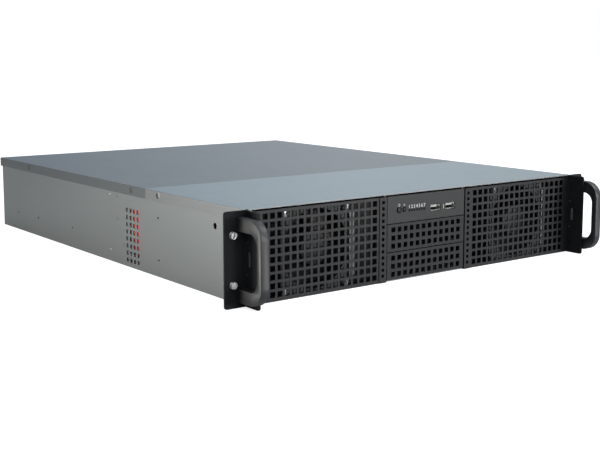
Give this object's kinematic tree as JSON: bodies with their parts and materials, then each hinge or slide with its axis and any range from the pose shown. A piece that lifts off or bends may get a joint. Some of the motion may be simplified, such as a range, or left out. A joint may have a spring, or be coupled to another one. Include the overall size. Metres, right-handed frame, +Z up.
{
  "type": "empty rackmount server case",
  "caption": "Empty rackmount server case with perforated black front, drive bay covers, front fans, ear handles, a lift-off front lid and a rear lid that slides back.",
  "frame": {"origin": "on the ground under the middle of the whole case, handles and rear lid included", "axes": "+X to the right seen from the front, +Y to the rear, +Z up"},
  "size_m": [0.4826, 0.6066, 0.0874],
  "materials": {
    "galvanised_steel": "satin",
    "lid_steel": "satin",
    "black_steel": "powder coat",
    "black_handle": "satin",
    "black_plastic": "matte",
    "red_plastic": "matte",
    "bright_screw": "bright plated",
    "socket_metal": "bright plated",
    "white_plastic": "matte",
    "clear_plastic": "clear",
    "circuit_board": "lacquered",
    "brass": "plain"
  },
  "bodies": {
    "case": {"chassis_base": "galvanised_steel", "rear_panel": "galvanised_steel", "slot_covers": "galvanised_steel", "drive_cage": "galvanised_steel", "mid_wall": "galvanised_steel", "cross_bar": "galvanised_steel", "supply_rail": "galvanised_steel", "fan_bracket_left": "galvanised_steel", "fan_bracket_right": "galvanised_steel", "vent_panel_left": "black_steel", "vent_panel_right": "black_steel", "bay_strip_left": "black_steel", "bay_strip_right": "black_steel", "ear_bracket_left": "black_steel", "ear_bracket_right": "black_steel", "bay_cover_lower": "black_steel", "bay_cover_upper": "black_steel", "handle_left": "black_handle", "handle_right": "black_handle", "io_panel": "black_plastic", "fan_frame_left": "black_plastic", "fan_frame_right": "black_plastic", "button_switches": "black_plastic", "fan_holder_1": "red_plastic", "fan_holder_2": "red_plastic", "fan_holder_3": "red_plastic", "fan_holder_4": "red_plastic", "handle_screws": "bright_screw", "fan_screws_left": "bright_screw", "fan_screws_right": "bright_screw", "usb_socket_left": "socket_metal", "usb_socket_right": "socket_metal", "usb_tongues": "white_plastic", "lamp_pipes": "clear_plastic", "io_board": "circuit_board", "board_standoffs": "brass"},
    "front_lid": {"lid_front": "lid_steel", "lid_screws_front": "bright_screw"},
    "rear_lid": {"lid_rear": "lid_steel", "lid_screws_rear": "bright_screw"},
    "left_rotor": {"fan_rotor_left": "black_plastic"},
    "right_rotor": {"fan_rotor_right": "black_plastic"},
    "power_button": {"power_button": "black_plastic"},
    "reset_button": {"reset_button": "black_plastic"},
    "left_lower_screw": {"thumb_screw_left_lower": "bright_screw"},
    "left_upper_screw": {"thumb_screw_left_upper": "bright_screw"},
    "right_lower_screw": {"thumb_screw_right_lower": "bright_screw"},
    "right_upper_screw": {"thumb_screw_right_upper": "bright_screw"}
  },
  "joints": [
    {"name": "left_fan_spin", "type": "hinge", "parent": "case", "child": "left_rotor", "pos_m": [-0.1372, -0.25075, 0.0428], "axis": [0, 1, 0], "continuous": true},
    {"name": "right_fan_spin", "type": "hinge", "parent": "case", "child": "right_rotor", "pos_m": [0.1372, -0.25075, 0.0428], "axis": [0, 1, 0], "continuous": true},
    {"name": "left_lower_screw_turn", "type": "hinge", "parent": "case", "child": "left_lower_screw", "pos_m": [-0.233, -0.26575, 0.02127], "axis": [0, -1, 0], "continuous": true},
    {"name": "left_upper_screw_turn", "type": "hinge", "parent": "case", "child": "left_upper_screw", "pos_m": [-0.233, -0.26575, 0.06573], "axis": [0, -1, 0], "continuous": true},
    {"name": "right_lower_screw_turn", "type": "hinge", "parent": "case", "child": "right_lower_screw", "pos_m": [0.233, -0.26575, 0.02127], "axis": [0, -1, 0], "continuous": true},
    {"name": "right_upper_screw_turn", "type": "hinge", "parent": "case", "child": "right_upper_screw", "pos_m": [0.233, -0.26575, 0.06573], "axis": [0, -1, 0], "continuous": true},
    {"name": "power_press", "type": "slide", "parent": "case", "child": "power_button", "axis": [0, 1, 0], "range_m": [0, 0.001], "stiffness_N_per_m": 400},
    {"name": "reset_press", "type": "slide", "parent": "case", "child": "reset_button", "axis": [0, 1, 0], "range_m": [0, 0.001], "stiffness_N_per_m": 400},
    {"name": "front_lid_lift", "type": "slide", "parent": "case", "child": "front_lid", "axis": [0, 0, 1], "range_m": [0, 0.12]},
    {"name": "rear_lid_slide", "type": "slide", "parent": "case", "child": "rear_lid", "axis": [0, 1, 0], "range_m": [0, 0.4]}
  ]
}
